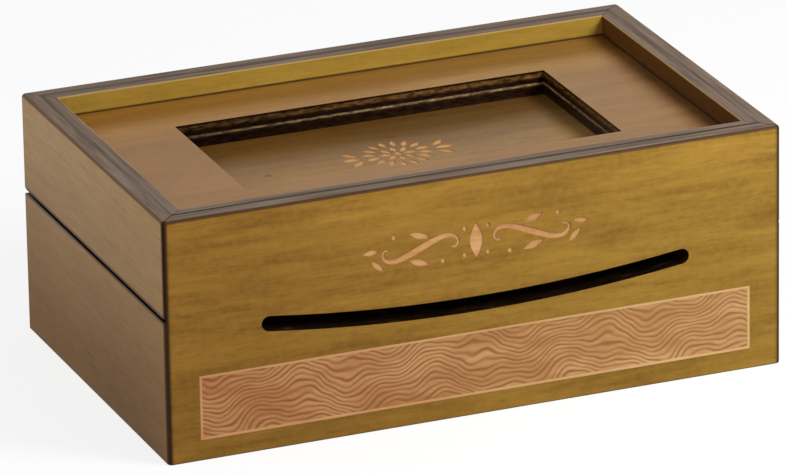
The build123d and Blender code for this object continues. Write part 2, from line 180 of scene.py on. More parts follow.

# Gradients multiplied into a colour: an axis, its two places and the shades that the colour has at
# them. Most of them are painted light and shade.
# The front: painted light and shade, darker and more orange to the left and towards the foot, lighter
# near the top edge, as from a lamp on the right
FRONT_PAINTED_LIGHT = (
    ("X", -SIDE_X, SIDE_X, (0.85, 0.77, 0.82, 1), (1.01, 1.03, 1.08, 1)),
    ("Z", 0.0, RIM_Z, grey(0.9), grey(1.05)),
    ("Z", 50 * MM, 58 * MM, grey(1.0), grey(1.1)),
)
# The strip: painted light, darker and more orange to the left, lighter and yellower to the right
STRIP_PAINTED_LIGHT = (("X", -SIDE_X, SIDE_X, (0.84, 0.75, 0.69, 1), (1.01, 1.14, 1.13, 1)),)
# The sides: a painted sheen of the white surround, paler and bluer towards the back and the top, and
# painted shade, darker towards the foot
SIDE_PAINTED_SHEEN = (
    ("Y", FRONT_Y, -FRONT_Y, (0.92, 0.9, 0.78, 1), (1.14, 1.19, 1.24, 1)),
    ("Z", 0.0, RIM_Z, (0.7, 0.56, 0.3, 1), (1.58, 1.66, 2.3, 1)),
)
# The back: painted light, darker towards the foot and lighter towards the top
BACK_PAINTED_LIGHT = (("Z", 0.0, RIM_Z, grey(0.86), grey(1.16)),)
# The tray: a painted sheen, less blue to the left; a painted shadow of the right wall beside it; and
# towards the back, painted light and a painted reflection of the back wall, lighter, then darker, then
# paler right by the wall
TRAY_PAINTED_LIGHT = (
    ("X", -60 * MM, 50 * MM, (0.97, 0.89, 0.7, 1), (0.97, 0.97, 0.94, 1)),
    ("X", 61 * MM, 69 * MM, grey(1.0), (0.56, 0.48, 0.38, 1)),
    ("Y", 12 * MM, 25 * MM, grey(1.0), (1.24, 1.26, 1.1, 1)),
    ("Y", 25 * MM, 33 * MM, grey(1.0), (0.76, 0.72, 0.6, 1)),
    ("Y", 34 * MM, 38 * MM, grey(1.0), (1.07, 1.1, 1.3, 1)),
)
# The picture panel: a painted sheen, less blue to the left, and painted shade of the window walls,
# darker towards the back
PICTURE_PAINTED_SHADE = (
    ("X", -40 * MM, 30 * MM, (0.98, 0.93, 0.74, 1), grey(1.0)),
    ("Y", -8 * MM, 20 * MM, (1.08, 1.06, 0.98, 1), (0.52, 0.45, 0.3, 1)),
)
# The window edges: darker towards the left, lighter towards the right
EDGE_SHADES = (("X", -46 * MM, 26 * MM, grey(0.5), grey(1.2)),)

# The sanded plies of a wall from its inner to its outer face, dark where the two sheets meet; a liner's
# pale inner edge is sanding with a painted highlight
OUTER_PLIES = (
    (0.0, 0.36), (0.1, 0.42), (0.22, 0.94), (0.36, 1.04), (0.44, 0.84),
    (0.62, 0.86), (0.7, 1.06), (0.88, 0.96), (1.0, 0.55),
)
LINER_PLIES = (
    (0.0, 1.5), (0.1, 1.2), (0.2, 0.98), (0.4, 1.05), (0.5, 0.86),
    (0.62, 0.9), (0.76, 1.0), (0.9, 0.42), (1.0, 0.36),
)
SIDE_PLY_CONTRAST = 0.5

# Window edges from the lower face of a sheet to its upper one: charred, with paler bands of bare ply.
# Where the two sheets meet, the pale band is bare ply with a painted highlight.
TOP_SHEET_EDGE = (
    (0.0, srgb(64, 46, 26)), (0.08, srgb(30, 15, 5)), (0.3, srgb(26, 13, 4)), (0.42, srgb(54, 32, 12)),
    (0.54, srgb(94, 66, 32)), (0.74, srgb(92, 64, 30)), (0.88, srgb(34, 18, 7)), (1.0, srgb(30, 16, 6)),
)
LOWER_SHEET_EDGE = (
    (0.0, srgb(40, 20, 7)), (0.3, srgb(28, 13, 4)), (0.62, srgb(30, 15, 5)), (0.78, srgb(52, 32, 14)),
    (0.86, srgb(126, 104, 74)), (1.0, srgb(134, 112, 82)),
)

# Noise: waves a metre along and across the grain, or along X, Y and Z, and how far each is
# shifted from its material's seed
STREAKS = {"along": 34, "across": 300, "detail": 6, "roughness": 0.62}
BLOTCHES = {"along": 26, "across": 74, "detail": 4, "roughness": 0.6, "shift": 3}
FLECKS = {"along": 240, "across": 900, "detail": 3, "roughness": 0.6, "shift": 5}
FIBRES = {"along": 160, "across": 2600, "detail": 2, "roughness": 0.7, "shift": 7}
WEATHER = {"along": 34, "across": 900, "detail": 4, "roughness": 0.65, "shift": 5}
CHAR = {"along": 160, "across": 900, "detail": 3, "shift": 11}
CLOUDS = {"per_metre": (16, 16, 34), "detail": 3, "shift": 13}
MOTTLE = {"per_metre": (620, 620, 620), "detail": 3, "roughness": 0.6, "shift": 9}
EDGE_CHAR = {"per_metre": (420, 420, 1500), "detail": 4, "roughness": 0.65, "shift": 11}
STRIP_FIGURE = {"along": 45, "across": 160, "detail": 4, "roughness": 0.65}
STRIP_FIBRES = {"along": 110, "across": 2400, "detail": 2, "shift": 2}
BRASS_SCRATCHES = {"per_metre": (60, 2400, 2400), "detail": 3, "roughness": 0.6}
STEEL_SCRATCHES = {"per_metre": (60, 2600, 2600), "detail": 3, "roughness": 0.6}
TARNISH = {"per_metre": (260, 260, 260), "detail": 2, "shift": 2}

# The part of the noise over which each mark comes in, and how strong it gets
BLOTCH_RANGE = 0.46, 0.72, 0.6
FLECK_RANGE = 0.54, 0.74, 0.5
CLOUD_RANGE = 0.48, 0.68, 0.4
MOTTLE_RANGE = 0.3, 0.7, 0.35

# The part of the noise over which metal tarnishes and dulls, and fibres come to stand up
TARNISH_RANGE = 0.4, 0.75
SCRATCH_RANGE = 0.3, 0.7
FIBRE_RANGE = 0.2, 0.8

# Where on the noise the dark, the middle and the light tone lie
STREAK_PLACES = 0.28, 0.5, 0.72
WEATHER_PLACES = 0.32, 0.5, 0.68
CHAR_PLACES = 0.4, 0.58, 0.74

# Shades and tones at places on the noise
FIBRE_SHADES = (0.3, (0.91, 0.9, 0.88, 1)), (0.65, grey(1.05))
EDGE_CHAR_SHADES = (0.38, grey(0.3)), (0.5, grey(0.9)), (0.66, grey(1.9))
RIDGE_TONES = (0.38, FIELD_DARK), (0.62, FIELD_LIGHT)

# Dark lines: how far the full tone and its faded edge reach, and how strong it is. The mitre and corner
# lines are dark joints; the parting and tray lines are painted shade along the gap between lid and base
# and in the creases where the tray meets the walls.
MITRE_LINE = 0.1 * MM, 0.4 * MM, 0.6
CORNER_LINE = 0.5 * MM, 1.7 * MM, 0.85
PARTING_SHADE = 0.45 * MM, 1.5 * MM, 0.9
TRAY_FOOT_SHADE = 0.18 * MM, 0.6 * MM, 0.9
TRAY_EDGE_SHADE = 0.15 * MM, 0.7 * MM, 0.6

# The knot in the picture panel: its place, its half lengths along and across the grain, and how
# it fades out over them
KNOT_PLACE = (-33.7 * MM, -1.4 * MM)
KNOT_SIZE = (1.5 * MM, 1.0 * MM)
KNOT_FADE = 0.15, 1.0, 0.85

# How far the dark stain has run down the joint between two wall sheets, and the depths below
# the rim between which the sanding fades out
JOINT_DEPTH = 8 * MM
SANDING_START, SANDING_END = 0.4 * MM, 1.0 * MM

# Ranges of a surface's normal. Its share along the sheet's axis tells an edge from a face over
# SQUARE, and the sheet's inside from its outside over INWARD or OUTWARD. Its shares, multiplied
# in pairs and added up, tell a flat face from a rounded edge over ARRIS.
SQUARE = 0.55, 0.85
INWARD = -0.3, 0.0
OUTWARD = 0.2, 0.6
ARRIS = 0.12, 0.42

# How strongly a rounded edge shows its own tone, and the strip's border its paler one
ARRIS_STRENGTH = 0.8
BORDER_STRENGTH = 0.55

# Coats: the shader's specular level, and the roughness between the fibres and on them
WALL_GLOSS, WALL_ROUGHNESS = 0.06, (0.5, 0.4)
LID_GLOSS, LID_ROUGHNESS = 0.11, (0.34, 0.26)
BARE_GLOSS, BARE_ROUGHNESS = 0.25, (0.7, 0.6)
STRIP_GLOSS, STRIP_ROUGHNESS = 0.2, (0.7, 0.55)

# Metals: the specular level, the roughness where each is smooth, and what scratches add to it
METAL_GLOSS = 0.5
BRASS_ROUGHNESS, SLOT_ROUGHNESS, STEEL_ROUGHNESS = 0.34, 0.45, 0.28
SCRATCH_ROUGHNESS = 0.14

# Relief of each finish: its strength and its depth
COATED_RELIEF = 0.25, 0.04 * MM
BARE_RELIEF = 0.4, 0.06 * MM
STRIP_RELIEF = 0.3, 0.04 * MM
METAL_RELIEF = 0.12, 0.02 * MM

# Noise seeds, so that no two kinds of sheet show the same figure
FRONT_SEED, BACK_SEED, SIDE_SEED, SIDE_LINER_SEED, BACK_LINER_SEED = 1, 12, 23, 34, 45
TRAY_SEED, LOWER_SEED, PICTURE_SEED = 56, 67, 78
RAW_SEED, BEECH_SEED, ENGRAVED_SEED = 89, 91, 97
STRIP_SEED, METAL_SEED = 21, 31


class Tree:
    """The nodes of one material, with short calls for what the wood and metal finishes share."""

    def __init__(self, name, seed):
        self.seed = seed
        self.material = bpy.data.materials.new(name)
        self.material.use_nodes = True
        self.nodes = self.material.node_tree.nodes
        self.links = self.material.node_tree.links
        self.shader = self.nodes["Principled BSDF"]
        coordinates = self.nodes.new("ShaderNodeTexCoord")
        self.place = coordinates.outputs["Object"]
        self.x, self.y, self.z = self.split(self.place)
        self.facing = self.split(coordinates.outputs["Normal"])

    def put(self, socket, value):
        """Links an output to the socket, or sets the socket's own value."""
        if isinstance(value, bpy.types.NodeSocket):
            self.links.new(value, socket)
        else:
            socket.default_value = value

    def split(self, vector):
        node = self.nodes.new("ShaderNodeSeparateXYZ")
        self.put(node.inputs[0], vector)
        return node.outputs[0], node.outputs[1], node.outputs[2]

    def math(self, operation, first, second=0.0, clamp=False):
        node = self.nodes.new("ShaderNodeMath")
        node.operation = operation
        node.use_clamp = clamp
        self.put(node.inputs[0], first)
        self.put(node.inputs[1], second)
        return node.outputs[0]

    def size(self, value):
        """The value without its sign."""
        return self.math("ABSOLUTE", value)

    def between(self, value, low, high, first=0.0, last=1.0):
        """The value's place between low and high, smoothly, from first to last."""
        node = self.nodes.new("ShaderNodeMapRange")
        node.interpolation_type = "SMOOTHSTEP"
        for index, each in enumerate((value, low, high, first, last)):
            self.put(node.inputs[index], each)
        return node.outputs[0]

    def mix(self, share, first, second, blend="MIX"):
        """Two colours mixed, with the second one's share."""
        node = self.nodes.new("ShaderNodeMix")
        node.data_type = "RGBA"
        node.blend_type = blend
        self.put(node.inputs["Factor"], share)
        self.put(node.inputs[6], first)
        self.put(node.inputs[7], second)
        return node.outputs[2]

    def times(self, colour, shade):
        """A colour multiplied by a shade."""
        return self.mix(1.0, colour, shade, "MULTIPLY")

    def line(self, colour, distance, core, reach, strength):
        """Dark tone along a line, a dark joint or painted shade: full tone out to its core, none past
        its reach.
        """
        return self.mix(self.between(distance, core, reach, strength, 0), colour, RIM_LINE)

    def ramp(self, share, *stops):
        """A colour ramp with its stops given as (place, colour)."""
        node = self.nodes.new("ShaderNodeValToRGB")
        points = node.color_ramp.elements
        while len(points) < len(stops):
            points.new(0.5)
        for point, (place, colour) in zip(points, stops):
            point.position = place
            point.color = colour
        self.put(node.inputs[0], share)
        return node.outputs[0]

    def noise(self, per_metre, detail, roughness=0.55, shift=0):
        """Noise from 0 to 1 with so many waves a metre along X, Y and Z."""
        scaled = self.nodes.new("ShaderNodeVectorMath")
        scaled.operation = "MULTIPLY_ADD"
        self.put(scaled.inputs[0], self.place)
        scaled.inputs[1].default_value = per_metre
        scaled.inputs[2].default_value = [self.seed + shift] * 3
        node = self.nodes.new("ShaderNodeTexNoise")
        self.put(node.inputs["Vector"], scaled.outputs[0])
        node.inputs["Scale"].default_value = 1.0
        node.inputs["Detail"].default_value = detail
        node.inputs["Roughness"].default_value = roughness
        return node.outputs[0]

    def grain(self, axis, along, across, **settings):
        """Noise drawn out along one axis."""
        rates = [across] * 3
        rates["XYZ".index(axis)] = along
        return self.noise(rates, **settings)

    def finish(self, colour, height, relief, roughness, gloss):
        """Sets the shader's colour, its fine relief from a height, its roughness and its gloss."""
        strength, depth = relief
        bump = self.nodes.new("ShaderNodeBump")
        bump.inputs["Strength"].default_value = strength
        bump.inputs["Distance"].default_value = depth
        self.put(bump.inputs["Height"], height)
        self.put(self.shader.inputs["Normal"], bump.outputs[0])
        self.put(self.shader.inputs["Base Color"], colour)
        self.put(self.shader.inputs["Roughness"], roughness)
        self.shader.inputs["Specular IOR Level"].default_value = gloss
        return self.material

    def coat(self, colour, fibres, relief, roughness, gloss):
        """Finishes wood, whose fibres stand up and shine a little more than what lies between."""
        shine = self.between(fibres, *FIBRE_RANGE, *roughness)
        return self.finish(colour, fibres, relief, shine, gloss)


def veneer(tree, tones, axis, figure=1.0):
    """The face of a sheet, as its colour and the noise of its fibres: soft streaks, blotches and
    short flecks along the grain, as strong as its figure."""
    dark, middle, light = tones
    streaked = tree.ramp(tree.grain(axis, **STREAKS), *zip(STREAK_PLACES, tones))
    colour = tree.mix(figure, middle, streaked)
    for marks, (low, high, strength), tone in (
        (tree.grain(axis, **BLOTCHES), BLOTCH_RANGE, dark),
        (tree.grain(axis, **FLECKS), FLECK_RANGE, dark),
        (tree.noise(**CLOUDS), CLOUD_RANGE, dark),
        (tree.noise(**MOTTLE), MOTTLE_RANGE, light),
    ):
        colour = tree.mix(tree.between(marks, low, high, 0, strength * figure), colour, tone)
    fibres = tree.grain(axis, **FIBRES)
    return tree.times(colour, tree.ramp(fibres, *FIBRE_SHADES)), fibres


def burnt_edge(tree, axis):
    """The edge of a sheet as the laser left it, charred unevenly."""
    return tree.ramp(tree.grain(axis, **CHAR), *zip(CHAR_PLACES, BURNT_TONES))


def sanded_rim_with_sheen(tree, axis, through, plies, contrast):
    """The sanded top edge: grey-brown plies along the wall, their grey partly a painted sheen, with a
    dark line in the mitres.
    """
    colour = tree.ramp(tree.grain(axis, **WEATHER), *zip(WEATHER_PLACES, RIM_TONES_WITH_SHEEN))
    stops = [(place, grey(1 + contrast * (shade - 1))) for place, shade in plies]
    colour = tree.times(colour, tree.ramp(through, *stops))
    reach = tree.math("SUBTRACT", tree.size(tree.x), tree.size(tree.y))
    mitre = tree.size(tree.math("SUBTRACT", reach, SIDE_X + FRONT_Y))
    return tree.line(colour, mitre, *MITRE_LINE)


def arris(tree):
    """1 on the rounded edge between two faces."""
    x, y, z = (tree.size(share) for share in tree.facing)
    pairs = [tree.math("MULTIPLY", first, second) for first, second in ((x, y), (y, z), (z, x))]
    either = tree.math("ADD", tree.math("ADD", pairs[0], pairs[1]), pairs[2])
    return tree.between(either, *ARRIS)


def corner_distance(tree):
    """How far a place on a wall lies from the nearest mitred corner."""
    reach_x = tree.math("SUBTRACT", SIDE_X, tree.size(tree.x))
    reach_y = tree.math("SUBTRACT", -FRONT_Y, tree.size(tree.y))
    return tree.math("MAXIMUM", reach_x, reach_y)


def shaded(tree, colour, shades):
    """The colour multiplied by shades that change evenly between two places along an axis; most of them
    are painted light and shade.
    """
    places = {"X": tree.x, "Y": tree.y, "Z": tree.z}
    for axis, low, high, first, last in shades:
        colour = tree.times(colour, tree.mix(tree.between(places[axis], low, high), first, last))
    return colour


def wall_material(
    name, tones, across, seed, figure,
    lining=False, shades=(), seam=None, contrast=1.0, edge_tone=RIM_LINE,
):
    """A wall sheet that stands across X or Y, with its grain along the other one."""
    tree = Tree(name, seed)
    if across == "X":
        along, distance, facing, half = "Y", tree.x, tree.facing[0], SIDE_X
    else:
        along, distance, facing, half = "X", tree.y, tree.facing[1], -FRONT_Y
    inner, thickness, plies, inner_arris_tone = half - SHEET, SHEET, OUTER_PLIES, RIM_LINE
    if lining:
        inner, thickness, plies, inner_arris_tone = inner - LINER, LINER, LINER_PLIES, WORN_EDGE_AND_HIGHLIGHT

    colour, fibres = veneer(tree, tones, along, figure)
    colour = shaded(tree, colour, shades)
    # Painted shade along a seam: beside the gap between lid and base on the outer sheets, at the foot
    # where the tray meets them on the liners
    if seam:
        height, line = seam
        colour = tree.line(colour, tree.size(tree.math("SUBTRACT", tree.z, height)), *line)

    depth = tree.math("SUBTRACT", tree.size(distance), inner)
    through = tree.math("DIVIDE", depth, thickness, clamp=True)
    rim = sanded_rim_with_sheen(tree, along, through, plies, contrast)
    top = tree.between(tree.z, RIM_Z - SANDING_END, RIM_Z - SANDING_START)
    edge = tree.mix(top, burnt_edge(tree, along), rim)
    colour = tree.mix(tree.between(tree.size(facing), *SQUARE), edge, colour)

    outward = tree.math("MULTIPLY", facing, tree.math("SIGN", distance))
    if lining:
        joint = tree.between(tree.z, RIM_Z - JOINT_DEPTH, RIM_Z - JOINT_DEPTH / 2)
        glued = tree.between(outward, *OUTWARD)
        colour = tree.mix(tree.math("MULTIPLY", joint, glued), colour, RIM_LINE)
    # Rounded edges: the liners' inner top edges are pale, as wear with a painted highlight
    arris_tone = tree.mix(tree.between(outward, *INWARD), inner_arris_tone, edge_tone)
    colour = tree.mix(tree.math("MULTIPLY", arris(tree), ARRIS_STRENGTH), colour, arris_tone)
    colour = tree.line(colour, corner_distance(tree), *CORNER_LINE)
    return tree.coat(colour, fibres, COATED_RELIEF, WALL_ROUGHNESS, WALL_GLOSS)


def flat_material(name, low, high, seed, edge_stops):
    """A sheet that lies flat between two heights, with charred plies round its window."""
    tree = Tree(name, seed)
    colour, fibres = veneer(tree, TRAY_TONES, "X", figure=0.6)
    colour = shaded(tree, colour, TRAY_PAINTED_LIGHT)

    through = tree.math("DIVIDE", tree.math("SUBTRACT", tree.z, low), high - low, clamp=True)
    uneven = tree.ramp(tree.noise(**EDGE_CHAR), *EDGE_CHAR_SHADES)
    burnt = tree.times(tree.ramp(through, *edge_stops), uneven)
    burnt = shaded(tree, burnt, EDGE_SHADES)
    colour = tree.mix(tree.between(tree.size(tree.facing[2]), *SQUARE), burnt, colour)

    # Painted shade in the crease where the sheet meets the walls
    reach_x = tree.math("SUBTRACT", TRAY_HIGH.x, tree.size(tree.x))
    reach_y = tree.math("SUBTRACT", TRAY_HIGH.y, tree.size(tree.y))
    colour = tree.line(colour, tree.math("MINIMUM", reach_x, reach_y), *TRAY_EDGE_SHADE)
    return tree.coat(colour, fibres, COATED_RELIEF, LID_ROUGHNESS, LID_GLOSS)


def picture_material():
    """The picture panel: darker stain, painted shade towards the back, and one small knot."""
    tree = Tree("picture_stain_and_painted_shade", PICTURE_SEED)
    colour, fibres = veneer(tree, PICTURE_TONES, "X", figure=0.8)
    colour = shaded(tree, colour, PICTURE_PAINTED_SHADE)
    along = tree.math("DIVIDE", tree.math("SUBTRACT", tree.x, KNOT_PLACE[0]), KNOT_SIZE[0])
    across = tree.math("DIVIDE", tree.math("SUBTRACT", tree.y, KNOT_PLACE[1]), KNOT_SIZE[1])
    squares = tree.math("ADD", tree.math("POWER", along, 2.0), tree.math("POWER", across, 2.0))
    core, reach, strength = KNOT_FADE
    colour = tree.mix(tree.between(squares, core, reach, strength, 0), colour, KNOT)
    return tree.coat(colour, fibres, COATED_RELIEF, LID_ROUGHNESS, LID_GLOSS)


def bare_wood(name, tones, seed):
    """Wood without stain or varnish, with its grain along X."""
    tree = Tree(name, seed)
    colour, fibres = veneer(tree, tones, "X")
    return tree.coat(colour, fibres, BARE_RELIEF, BARE_ROUGHNESS, BARE_GLOSS)


def strip_material():
    """The engraved strip, scorched in its grooves and pale on its ridges."""
    tree = Tree("engraved_strip", STRIP_SEED)
    ridge = tree.ramp(tree.grain("X", **STRIP_FIGURE), *RIDGE_TONES)
    border_y, ridge_y, groove_y = (
        FRONT_Y + depth for depth in (BAND_BORDER_DEPTH, BAND_RIDGE_DEPTH, BAND_GROOVE_DEPTH)
    )
    colour = tree.mix(tree.between(tree.y, ridge_y, groove_y), ridge, GROOVE_DARK)
    border = tree.between(tree.y, border_y, ridge_y, BORDER_STRENGTH, 0)
    colour = shaded(tree, tree.mix(border, colour, BORDER_LIGHT), STRIP_PAINTED_LIGHT)
    fibres = tree.grain("X", **STRIP_FIBRES)
    return tree.coat(colour, fibres, STRIP_RELIEF, STRIP_ROUGHNESS, STRIP_GLOSS)


def metal(name, light, dark, roughness, scratches):
    """Satin metal with fine scratches and slight tarnish."""
    tree = Tree(name, METAL_SEED)
    scratched = tree.noise(**scratches)
    colour = tree.mix(tree.between(tree.noise(**TARNISH), *TARNISH_RANGE), light, dark)
    dull = tree.between(scratched, *SCRATCH_RANGE, roughness, roughness + SCRATCH_ROUGHNESS)
    tree.shader.inputs["Metallic"].default_value = 1.0
    return tree.finish(colour, scratched, METAL_RELIEF, dull, METAL_GLOSS)


def make_materials():
    # Painted shade beside the gap between lid and base
    parting = PARTING_Z, PARTING_SHADE
    # Painted shade at the foot of the liners, where the tray meets them
    tray_foot = TRAY_HIGH.z, TRAY_FOOT_SHADE
    return {
        "front": wall_material(
            "front_stain_and_painted_light", GOLD_TONES, "Y", FRONT_SEED, figure=0.7, shades=FRONT_PAINTED_LIGHT
        ),
        "back": wall_material(
            "back_stain_and_painted_light", SIDE_TONES, "Y", BACK_SEED, figure=0.6, shades=BACK_PAINTED_LIGHT,
            seam=parting,
        ),
        "side": wall_material(
            "side_stain_and_painted_sheen", SIDE_TONES, "X", SIDE_SEED, figure=0.4, shades=SIDE_PAINTED_SHEEN,
            seam=parting, contrast=SIDE_PLY_CONTRAST, edge_tone=SIDE_EDGE,
        ),
        "liner_side": wall_material(
            "side_liner_stain_and_painted_shade", SHADED_LINER_TONES, "X", SIDE_LINER_SEED, figure=0.6, lining=True,
            seam=tray_foot, contrast=SIDE_PLY_CONTRAST,
        ),
        "liner_back": wall_material(
            "back_liner_stain_and_painted_shade", LINER_TONES, "Y", BACK_LINER_SEED, figure=0.6, lining=True,
            seam=tray_foot,
        ),
        "tray": flat_material("tray_stain_and_painted_light", TRAY_LOW.z, TRAY_HIGH.z, TRAY_SEED, TOP_SHEET_EDGE),
        "lower": flat_material(
            "lower_stain_and_painted_light", LOWER_LOW.z, LOWER_HIGH.z, LOWER_SEED, LOWER_SHEET_EDGE
        ),
        "picture": picture_material(),
        "raw": bare_wood("raw_ply", RAW_TONES, RAW_SEED),
        "beech": bare_wood("beech", BEECH_TONES, BEECH_SEED),
        "engraved": bare_wood("engraved_wood", ENGRAVED_TONES, ENGRAVED_SEED),
        "strip": strip_material(),
        "brass": metal("brass", BRASS, BRASS_TARNISH, BRASS_ROUGHNESS, BRASS_SCRATCHES),
        "brass_slot": metal(
            "brass_slot", SLOT_BRASS, SLOT_TARNISH, SLOT_ROUGHNESS, BRASS_SCRATCHES
        ),
        "steel": metal("steel", STEEL, STEEL_TARNISH, STEEL_ROUGHNESS, STEEL_SCRATCHES),
    }


def dress(material, *names):
    """The nodes keep their CAD shape and take a better material."""
    for name in names:
        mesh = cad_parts[name].data
        mesh.materials.clear()
        mesh.materials.append(material)


def new_object(name, data):
    thing = bpy.data.objects.new(name, data)
    bpy.context.scene.collection.objects.link(thing)
    return thing


def new_mesh(name, work):
    """The mesh that a bmesh holds, with its faces turned outwards."""
    bmesh.ops.recalc_face_normals(work, faces=work.faces)
    mesh = bpy.data.meshes.new(name)
    work.to_mesh(mesh)
    work.free()
    return mesh


def prisms(name, outlines, place, near, far):
    """Closed outlines as prisms from near to far, where place turns (u, v, w) into a point."""
    work = bmesh.new()
    for outline in outlines:
        first = [work.verts.new(place(u, v, near)) for u, v in outline]
        last = [work.verts.new(place(u, v, far)) for u, v in outline]
        work.faces.new(first)
        work.faces.new(last)
        for index in range(len(outline)):
            following = (index + 1) % len(outline)
            work.faces.new((first[index], first[following], last[following], last[index]))
    return new_mesh(name, work)


def carved(name, node, body, cutter_mesh, surface, cut_surface):
    """Makes a copy of a CAD node with shapes cut into it, which stands for that node."""
    piece = new_object(name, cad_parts[node].data.copy())
    piece.data.materials.clear()
    piece.data.materials.append(surface)
    work = bmesh.new()
    work.from_mesh(piece.data)
    bmesh.ops.remove_doubles(work, verts=work.verts, dist=WELD_DISTANCE)
    work.to_mesh(piece.data)
    work.free()
    cutter_mesh.materials.append(cut_surface)
    cutter = new_object(name + "_cutter", cutter_mesh)
    modifier = piece.modifiers.new("carve", "BOOLEAN")
    modifier.operation = "DIFFERENCE"
    modifier.solver = "EXACT"
    modifier.material_mode = "TRANSFER"
    modifier.object = cutter
    evaluated = piece.evaluated_get(bpy.context.evaluated_depsgraph_get())
    mesh = bpy.data.meshes.new_from_object(evaluated)
    piece.modifiers.clear()
    piece.data = mesh
    bpy.data.objects.remove(cutter)
    mesh.shade_smooth()
    mesh.set_sharp_from_angle(angle=SMOOTH_ANGLE)
    for face in mesh.polygons:
        if max(abs(share) for share in face.normal) > FLAT_SHARE:
            face.use_smooth = False
    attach(piece, body)
    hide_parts(node)


def turned(outline, angle, centre):
    """An outline turned about the origin and then moved to its centre."""
    cos, sin = math.cos(angle), math.sin(angle)
    return [(centre[0] + u * cos - v * sin, centre[1] + u * sin + v * cos) for u, v in outline]


def mirrored(outlines):
    return [[(-u, v) for u, v in reversed(outline)] for outline in outlines]


def leaf(centre, angle, length, width, count=12):
    """A pointed leaf, as two arcs that bulge to each side of its length."""
    shares = [index / count for index in range(count + 1)]
    upper = [(length * (s - 0.5), width / 2 * math.sin(math.pi * s)) for s in shares]
    lower = [(u, -v) for u, v in reversed(upper[1:-1])]
    return turned(upper + lower, angle, centre)


def dot(centre, radius, count=16):
    angles = [2 * math.pi * index / count for index in range(count)]
    return [(centre[0] + radius * math.cos(a), centre[1] + radius * math.sin(a)) for a in angles]


def ring(count, inner, outer, width, turn=0.0):
    """Leaves in a ring that point away from its centre."""
    reach = (inner + outer) / 2
    angles = [turn + 2 * math.pi * index / count for index in range(count)]
    return [
        leaf((reach * math.cos(a), reach * math.sin(a)), a, outer - inner, width)
        for a in angles
    ]


def scroll(start, end, curl, width, count=96):
    """An S-shaped stroke from start to end, thin at both tips, which turns by so many radians
    from its middle to each of them."""
    x, y, heading, line = 0.0, 0.0, 0.0, []
    for index in range(count + 1):
        share = index / count
        line.append((x, y, heading, share))
        heading += 8 * curl * (2 * share - 1) ** 3 / count
        x += math.cos(heading) / count
        y += math.sin(heading) / count
    scale = math.dist(start, end) / math.hypot(x, y)
    twist = math.atan2(end[1] - start[1], end[0] - start[0]) - math.atan2(y, x)
    cos, sin = math.cos(twist), math.sin(twist)
    left, right = [], []
    for x, y, heading, share in line:
        u = start[0] + scale * (x * cos - y * sin)
        v = start[1] + scale * (x * sin + y * cos)
        half = width / 2 * (SCROLL_TIP + (1 - SCROLL_TIP) * math.sin(math.pi * share))
        across = heading + twist + math.pi / 2
        left.append((u + half * math.cos(across), v + half * math.sin(across)))
        right.append((u - half * math.cos(across), v - half * math.sin(across)))
    return left + right[::-1]


def scroll_outlines():
    """The ornament over the slot, in millimetres from its centre."""
    half = [
        scroll((6.2, -0.4), (21.6, 0.4), 4.4, 1.6),
        leaf((14.2, 3.3), 0.3, 5.6, 1.7),
        leaf((14.4, -3.3), 0.3, 5.6, 1.7),
        leaf((24.8, -2.6), 0.75, 4.6, 1.5),
        leaf((26.4, 0.9), -0.1, 4.0, 1.4),
        dot((20.6, 3.8), 0.6),
        dot((8.4, -3.8), 0.6),
        dot((2.9, 3.3), 0.6),
        dot((2.9, -3.3), 0.6),
    ]
    return [leaf((0, 0), math.pi / 2, 9.0, 3.4)] + half + mirrored(half)


def rosette_outlines():
    """The ornament in the window, in millimetres from its centre."""
    outlines = [dot((0, 0), 0.9)] + ring(8, 1.5, 4.7, 1.6) + ring(16, 4.9, 8.8, 1.55, math.pi / 16)
    spray = [
        leaf((11.9, 0), 0.0, 5.0, 1.8),
        leaf((11.2, 3.0), 0.7, 4.6, 1.6),
        leaf((11.2, -3.0), -0.7, 4.6, 1.6),
    ]
    return outlines + spray + mirrored(spray)


def slot_outlines(node):
    """A straight driver slot across each of a node's four screw heads, seen from above."""
    low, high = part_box(node)
    middle_y = (low.y + high.y) / 2
    first = high.x - SCREW_RADIUS
    places = [sign * (first - step) for sign in (1, -1) for step in (0, SCREW_PITCH)]
    u, v = SCREW_RADIUS + CUTTER_CLEARANCE, DRIVER_SLOT_WIDTH / 2
    corners = [(-u, -v), (u, -v), (u, v), (-u, v)]
    return [
        turned(corners, FIRST_SLOT_TURN + SLOT_TURN_STEP * index, (x, middle_y))
        for index, x in enumerate(places)
    ]


def wave(x, z, swing, length, start=0.0, lean=0.0):
    """One wave along x, which moves along as z grows."""
    return swing * math.sin(2 * math.pi * x / length + start + lean * z)


def groove_phase(x, z):
    """Counts the grooves across the strip; x and z are in millimetres."""
    sway = wave(x, z, start=wave(z, x, **DRIFT), **SWAY)
    return z / GROOVE_SPACING + sway + wave(x, z, **RIPPLE) + wave(x, z, **WAVER)


def strip_depth(x, z, half_width):
    """How deep the strip is cut at a place, in metres."""
    edge = min(half_width - abs(x), z, BAND_HEIGHT - z)
    if edge < BAND_BORDER:
        return BAND_BORDER_DEPTH
    phase = groove_phase(x / MM, z / MM)
    groove = (0.5 + 0.5 * math.cos(2 * math.pi * phase)) ** GROOVE_SHARPNESS
    swell = math.sin(x / MM * UNEVEN_ALONG + phase * UNEVEN_ACROSS)
    share = groove * (1 - GROOVE_UNEVENNESS + GROOVE_UNEVENNESS * swell)
    return BAND_RIDGE_DEPTH + (BAND_GROOVE_DEPTH - BAND_RIDGE_DEPTH) * share


